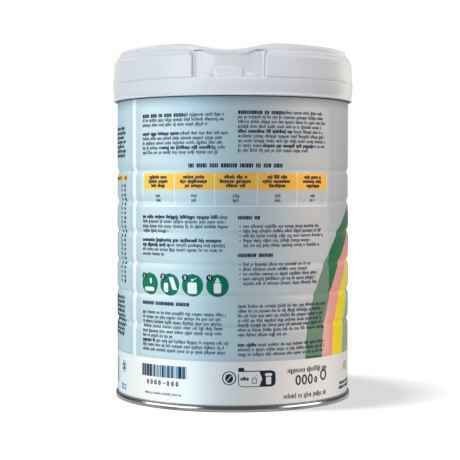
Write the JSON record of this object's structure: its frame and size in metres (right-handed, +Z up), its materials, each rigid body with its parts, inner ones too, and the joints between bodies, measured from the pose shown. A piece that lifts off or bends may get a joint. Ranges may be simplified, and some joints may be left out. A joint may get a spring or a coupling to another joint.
{
  "type": "milk powder tin",
  "caption": "Shut round steel tin for milk powder, with a beaded body, a seamed bottom end and a plastic flip-top lid with a lifting tab; the label is printed in plain fields and strokes.",
  "frame": {"origin": "centre of the tin's foot, at the bottom of its bounding box", "axes": "+Z up along the tin's axis, the lid's tab and the small-print side of the label face -Y"},
  "size_m": [0.1318, 0.1318, 0.188],
  "materials": {
    "printed_steel": "satin lacquer over print",
    "tinplate": "bare bright tinplate",
    "lid_plastic": "soft-gloss white polypropylene"
  },
  "bodies": {
    "root": {"tin_body": "printed_steel", "bottom_end": "tinplate", "lid_collar": "lid_plastic", "lid_top": "lid_plastic"}
  },
  "joints": []
}
